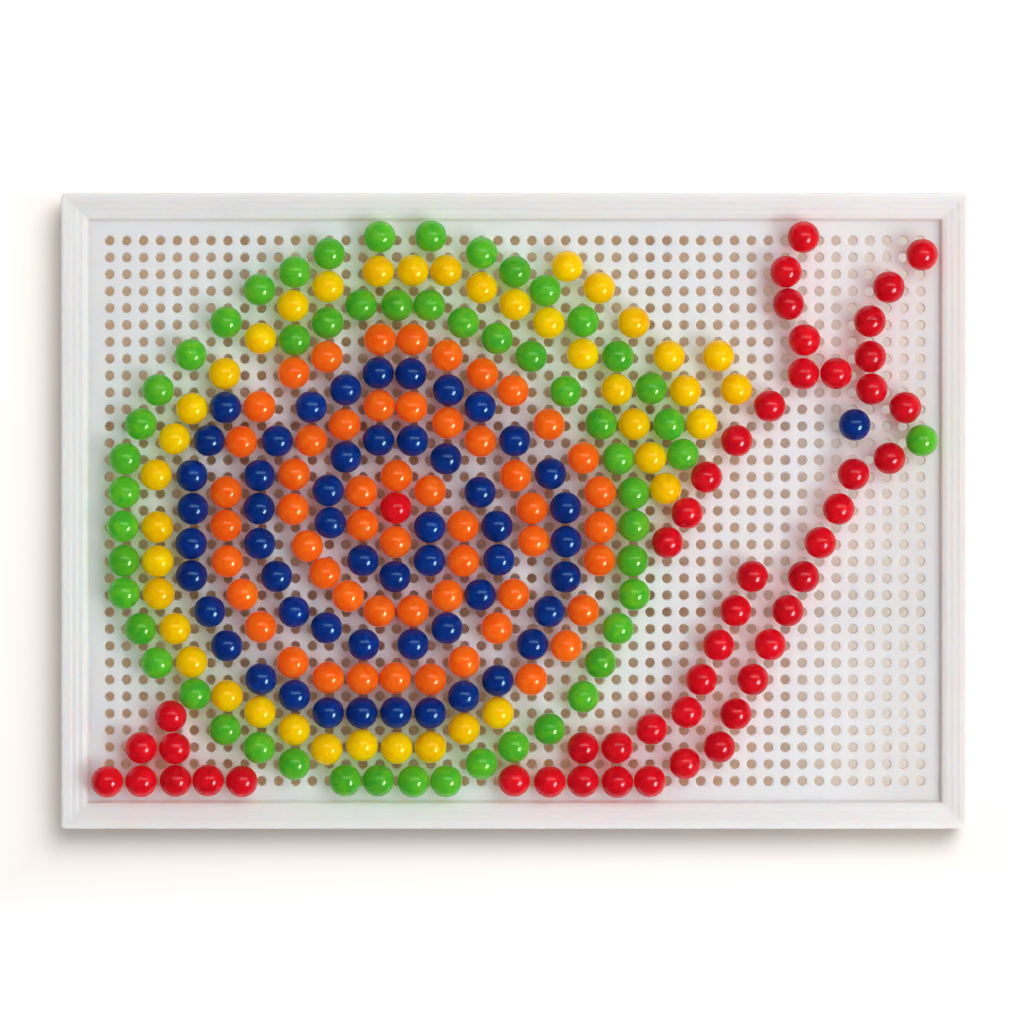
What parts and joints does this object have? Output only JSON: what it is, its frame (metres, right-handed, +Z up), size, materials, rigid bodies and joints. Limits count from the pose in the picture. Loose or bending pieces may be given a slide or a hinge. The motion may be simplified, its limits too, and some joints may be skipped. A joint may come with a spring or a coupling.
{
  "type": "peg mosaic board",
  "caption": "White perforated mosaic board with a stepped rim, holding domed mushroom pegs set out as a snail; each peg lifts straight out of its hole.",
  "frame": {"origin": "middle of the board's underside, on the table it rests on", "axes": "+X along the board's long side towards the snail's head, +Y to the board's back edge, +Z up out of the pegged face"},
  "size_m": [0.2892, 0.2028, 0.0221],
  "materials": {
    "board_white": "satin moulded, slightly translucent",
    "peg_red": "glossy moulded",
    "peg_orange": "glossy moulded",
    "peg_yellow": "glossy moulded",
    "peg_green": "glossy moulded, slightly translucent",
    "peg_blue": "glossy moulded"
  },
  "bodies": {
    "board": {"peg_board": "board_white"},
    "shell_pegs_blue": {"shell_blue_peg_01": "peg_blue"},
    "shell_pegs_green": {"shell_green_peg_01": "peg_green", "shell_green_peg_02": "peg_green"},
    "shell_pegs_orange": {"shell_orange_peg_01": "peg_orange", "shell_orange_peg_02": "peg_orange"},
    "shell_pegs_yellow": {"shell_yellow_peg_01": "peg_yellow", "shell_yellow_peg_02": "peg_yellow"},
    "eye_peg": {"eye_peg": "peg_blue"},
    "mouth_peg": {"mouth_peg": "peg_green"},
    "shell_centre_peg": {"shell_centre_peg": "peg_red"},
    "snail_foot_peg_01": {"snail_foot_peg_01": "peg_red"},
    "snail_foot_peg_02": {"snail_foot_peg_02": "peg_red"},
    "snail_foot_peg_03": {"snail_foot_peg_03": "peg_red"},
    "snail_foot_peg_04": {"snail_foot_peg_04": "peg_red"},
    "snail_foot_peg_05": {"snail_foot_peg_05": "peg_red"},
    "snail_foot_peg_06": {"snail_foot_peg_06": "peg_red"},
    "snail_foot_peg_07": {"snail_foot_peg_07": "peg_red"},
    "snail_foot_peg_08": {"snail_foot_peg_08": "peg_red"},
    "snail_foot_peg_09": {"snail_foot_peg_09": "peg_red"},
    "snail_foot_peg_10": {"snail_foot_peg_10": "peg_red"},
    "snail_head_peg_01": {"snail_head_peg_01": "peg_red"},
    "snail_head_peg_02": {"snail_head_peg_02": "peg_red"},
    "snail_head_peg_03": {"snail_head_peg_03": "peg_red"},
    "snail_head_peg_04": {"snail_head_peg_04": "peg_red"},
    "snail_head_peg_05": {"snail_head_peg_05": "peg_red"},
    "snail_head_peg_06": {"snail_head_peg_06": "peg_red"},
    "snail_head_peg_07": {"snail_head_peg_07": "peg_red"},
    "snail_head_peg_08": {"snail_head_peg_08": "peg_red"},
    "snail_left_horn_peg_01": {"snail_left_horn_peg_01": "peg_red"},
    "snail_left_horn_peg_02": {"snail_left_horn_peg_02": "peg_red"},
    "snail_left_horn_peg_03": {"snail_left_horn_peg_03": "peg_red"},
    "snail_left_horn_peg_04": {"snail_left_horn_peg_04": "peg_red"},
    "snail_neck_peg_01": {"snail_neck_peg_01": "peg_red"},
    "snail_neck_peg_02": {"snail_neck_peg_02": "peg_red"},
    "snail_neck_peg_03": {"snail_neck_peg_03": "peg_red"},
    "snail_neck_peg_04": {"snail_neck_peg_04": "peg_red"},
    "snail_neck_peg_05": {"snail_neck_peg_05": "peg_red"},
    "snail_neck_peg_06": {"snail_neck_peg_06": "peg_red"},
    "snail_neck_peg_07": {"snail_neck_peg_07": "peg_red"},
    "snail_neck_peg_08": {"snail_neck_peg_08": "peg_red"},
    "snail_neck_peg_09": {"snail_neck_peg_09": "peg_red"},
    "snail_neck_peg_10": {"snail_neck_peg_10": "peg_red"},
    "snail_neck_peg_11": {"snail_neck_peg_11": "peg_red"},
    "snail_neck_peg_12": {"snail_neck_peg_12": "peg_red"},
    "snail_neck_peg_13": {"snail_neck_peg_13": "peg_red"},
    "snail_neck_peg_14": {"snail_neck_peg_14": "peg_red"},
    "snail_neck_peg_15": {"snail_neck_peg_15": "peg_red"},
    "snail_right_horn_peg_01": {"snail_right_horn_peg_01": "peg_red"},
    "snail_right_horn_peg_02": {"snail_right_horn_peg_02": "peg_red"},
    "snail_right_horn_peg_03": {"snail_right_horn_peg_03": "peg_red"},
    "snail_right_horn_peg_04": {"snail_right_horn_peg_04": "peg_red"},
    "snail_tail_peg_01": {"snail_tail_peg_01": "peg_red"},
    "snail_tail_peg_02": {"snail_tail_peg_02": "peg_red"},
    "snail_tail_peg_03": {"snail_tail_peg_03": "peg_red"},
    "snail_tail_peg_04": {"snail_tail_peg_04": "peg_red"},
    "snail_tail_peg_05": {"snail_tail_peg_05": "peg_red"},
    "snail_tail_peg_06": {"snail_tail_peg_06": "peg_red"},
    "snail_tail_peg_07": {"snail_tail_peg_07": "peg_red"},
    "snail_tail_peg_08": {"snail_tail_peg_08": "peg_red"}
  },
  "joints": [
    {"name": "eye_peg_lift", "type": "slide", "parent": "board", "child": "eye_peg", "axis": [0, 0, 1], "range_m": [0, 0.014]},
    {"name": "mouth_peg_lift", "type": "slide", "parent": "board", "child": "mouth_peg", "axis": [0, 0, 1], "range_m": [0, 0.014]},
    {"name": "shell_centre_peg_lift", "type": "slide", "parent": "board", "child": "shell_centre_peg", "axis": [0, 0, 1], "range_m": [0, 0.014]},
    {"name": "shell_pegs_blue_lift", "type": "slide", "parent": "board", "child": "shell_pegs_blue", "axis": [0, 0, 1], "range_m": [0, 0.014]},
    {"name": "shell_pegs_green_lift", "type": "slide", "parent": "board", "child": "shell_pegs_green", "axis": [0, 0, 1], "range_m": [0, 0.014]},
    {"name": "shell_pegs_orange_lift", "type": "slide", "parent": "board", "child": "shell_pegs_orange", "axis": [0, 0, 1], "range_m": [0, 0.014]},
    {"name": "shell_pegs_yellow_lift", "type": "slide", "parent": "board", "child": "shell_pegs_yellow", "axis": [0, 0, 1], "range_m": [0, 0.014]},
    {"name": "snail_foot_peg_01_lift", "type": "slide", "parent": "board", "child": "snail_foot_peg_01", "axis": [0, 0, 1], "range_m": [0, 0.014]},
    {"name": "snail_head_peg_01_lift", "type": "slide", "parent": "board", "child": "snail_head_peg_01", "axis": [0, 0, 1], "range_m": [0, 0.014]},
    {"name": "snail_left_horn_peg_01_lift", "type": "slide", "parent": "board", "child": "snail_left_horn_peg_01", "axis": [0, 0, 1], "range_m": [0, 0.014]},
    {"name": "snail_neck_peg_01_lift", "type": "slide", "parent": "board", "child": "snail_neck_peg_01", "axis": [0, 0, 1], "range_m": [0, 0.014]},
    {"name": "snail_right_horn_peg_01_lift", "type": "slide", "parent": "board", "child": "snail_right_horn_peg_01", "axis": [0, 0, 1], "range_m": [0, 0.014]},
    {"name": "snail_tail_peg_01_lift", "type": "slide", "parent": "board", "child": "snail_tail_peg_01", "axis": [0, 0, 1], "range_m": [0, 0.014]},
    {"name": "snail_foot_peg_02_lift", "type": "slide", "parent": "board", "child": "snail_foot_peg_02", "axis": [0, 0, 1], "range_m": [0, 0.014]},
    {"name": "snail_foot_peg_03_lift", "type": "slide", "parent": "board", "child": "snail_foot_peg_03", "axis": [0, 0, 1], "range_m": [0, 0.014]},
    {"name": "snail_foot_peg_04_lift", "type": "slide", "parent": "board", "child": "snail_foot_peg_04", "axis": [0, 0, 1], "range_m": [0, 0.014]},
    {"name": "snail_foot_peg_05_lift", "type": "slide", "parent": "board", "child": "snail_foot_peg_05", "axis": [0, 0, 1], "range_m": [0, 0.014]},
    {"name": "snail_foot_peg_06_lift", "type": "slide", "parent": "board", "child": "snail_foot_peg_06", "axis": [0, 0, 1], "range_m": [0, 0.014]},
    {"name": "snail_foot_peg_07_lift", "type": "slide", "parent": "board", "child": "snail_foot_peg_07", "axis": [0, 0, 1], "range_m": [0, 0.014]},
    {"name": "snail_foot_peg_08_lift", "type": "slide", "parent": "board", "child": "snail_foot_peg_08", "axis": [0, 0, 1], "range_m": [0, 0.014]},
    {"name": "snail_foot_peg_09_lift", "type": "slide", "parent": "board", "child": "snail_foot_peg_09", "axis": [0, 0, 1], "range_m": [0, 0.014]},
    {"name": "snail_foot_peg_10_lift", "type": "slide", "parent": "board", "child": "snail_foot_peg_10", "axis": [0, 0, 1], "range_m": [0, 0.014]},
    {"name": "snail_head_peg_02_lift", "type": "slide", "parent": "board", "child": "snail_head_peg_02", "axis": [0, 0, 1], "range_m": [0, 0.014]},
    {"name": "snail_head_peg_03_lift", "type": "slide", "parent": "board", "child": "snail_head_peg_03", "axis": [0, 0, 1], "range_m": [0, 0.014]},
    {"name": "snail_head_peg_04_lift", "type": "slide", "parent": "board", "child": "snail_head_peg_04", "axis": [0, 0, 1], "range_m": [0, 0.014]},
    {"name": "snail_head_peg_05_lift", "type": "slide", "parent": "board", "child": "snail_head_peg_05", "axis": [0, 0, 1], "range_m": [0, 0.014]},
    {"name": "snail_head_peg_06_lift", "type": "slide", "parent": "board", "child": "snail_head_peg_06", "axis": [0, 0, 1], "range_m": [0, 0.014]},
    {"name": "snail_head_peg_07_lift", "type": "slide", "parent": "board", "child": "snail_head_peg_07", "axis": [0, 0, 1], "range_m": [0, 0.014]},
    {"name": "snail_head_peg_08_lift", "type": "slide", "parent": "board", "child": "snail_head_peg_08", "axis": [0, 0, 1], "range_m": [0, 0.014]},
    {"name": "snail_left_horn_peg_02_lift", "type": "slide", "parent": "board", "child": "snail_left_horn_peg_02", "axis": [0, 0, 1], "range_m": [0, 0.014]},
    {"name": "snail_left_horn_peg_03_lift", "type": "slide", "parent": "board", "child": "snail_left_horn_peg_03", "axis": [0, 0, 1], "range_m": [0, 0.014]},
    {"name": "snail_left_horn_peg_04_lift", "type": "slide", "parent": "board", "child": "snail_left_horn_peg_04", "axis": [0, 0, 1], "range_m": [0, 0.014]},
    {"name": "snail_neck_peg_02_lift", "type": "slide", "parent": "board", "child": "snail_neck_peg_02", "axis": [0, 0, 1], "range_m": [0, 0.014]},
    {"name": "snail_neck_peg_03_lift", "type": "slide", "parent": "board", "child": "snail_neck_peg_03", "axis": [0, 0, 1], "range_m": [0, 0.014]},
    {"name": "snail_neck_peg_04_lift", "type": "slide", "parent": "board", "child": "snail_neck_peg_04", "axis": [0, 0, 1], "range_m": [0, 0.014]},
    {"name": "snail_neck_peg_05_lift", "type": "slide", "parent": "board", "child": "snail_neck_peg_05", "axis": [0, 0, 1], "range_m": [0, 0.014]},
    {"name": "snail_neck_peg_06_lift", "type": "slide", "parent": "board", "child": "snail_neck_peg_06", "axis": [0, 0, 1], "range_m": [0, 0.014]},
    {"name": "snail_neck_peg_07_lift", "type": "slide", "parent": "board", "child": "snail_neck_peg_07", "axis": [0, 0, 1], "range_m": [0, 0.014]},
    {"name": "snail_neck_peg_08_lift", "type": "slide", "parent": "board", "child": "snail_neck_peg_08", "axis": [0, 0, 1], "range_m": [0, 0.014]},
    {"name": "snail_neck_peg_09_lift", "type": "slide", "parent": "board", "child": "snail_neck_peg_09", "axis": [0, 0, 1], "range_m": [0, 0.014]},
    {"name": "snail_neck_peg_10_lift", "type": "slide", "parent": "board", "child": "snail_neck_peg_10", "axis": [0, 0, 1], "range_m": [0, 0.014]},
    {"name": "snail_neck_peg_11_lift", "type": "slide", "parent": "board", "child": "snail_neck_peg_11", "axis": [0, 0, 1], "range_m": [0, 0.014]},
    {"name": "snail_neck_peg_12_lift", "type": "slide", "parent": "board", "child": "snail_neck_peg_12", "axis": [0, 0, 1], "range_m": [0, 0.014]},
    {"name": "snail_neck_peg_13_lift", "type": "slide", "parent": "board", "child": "snail_neck_peg_13", "axis": [0, 0, 1], "range_m": [0, 0.014]},
    {"name": "snail_neck_peg_14_lift", "type": "slide", "parent": "board", "child": "snail_neck_peg_14", "axis": [0, 0, 1], "range_m": [0, 0.014]},
    {"name": "snail_neck_peg_15_lift", "type": "slide", "parent": "board", "child": "snail_neck_peg_15", "axis": [0, 0, 1], "range_m": [0, 0.014]},
    {"name": "snail_right_horn_peg_02_lift", "type": "slide", "parent": "board", "child": "snail_right_horn_peg_02", "axis": [0, 0, 1], "range_m": [0, 0.014]},
    {"name": "snail_right_horn_peg_03_lift", "type": "slide", "parent": "board", "child": "snail_right_horn_peg_03", "axis": [0, 0, 1], "range_m": [0, 0.014]},
    {"name": "snail_right_horn_peg_04_lift", "type": "slide", "parent": "board", "child": "snail_right_horn_peg_04", "axis": [0, 0, 1], "range_m": [0, 0.014]},
    {"name": "snail_tail_peg_02_lift", "type": "slide", "parent": "board", "child": "snail_tail_peg_02", "axis": [0, 0, 1], "range_m": [0, 0.014]},
    {"name": "snail_tail_peg_03_lift", "type": "slide", "parent": "board", "child": "snail_tail_peg_03", "axis": [0, 0, 1], "range_m": [0, 0.014]},
    {"name": "snail_tail_peg_04_lift", "type": "slide", "parent": "board", "child": "snail_tail_peg_04", "axis": [0, 0, 1], "range_m": [0, 0.014]},
    {"name": "snail_tail_peg_05_lift", "type": "slide", "parent": "board", "child": "snail_tail_peg_05", "axis": [0, 0, 1], "range_m": [0, 0.014]},
    {"name": "snail_tail_peg_06_lift", "type": "slide", "parent": "board", "child": "snail_tail_peg_06", "axis": [0, 0, 1], "range_m": [0, 0.014]},
    {"name": "snail_tail_peg_07_lift", "type": "slide", "parent": "board", "child": "snail_tail_peg_07", "axis": [0, 0, 1], "range_m": [0, 0.014]},
    {"name": "snail_tail_peg_08_lift", "type": "slide", "parent": "board", "child": "snail_tail_peg_08", "axis": [0, 0, 1], "range_m": [0, 0.014]}
  ]
}
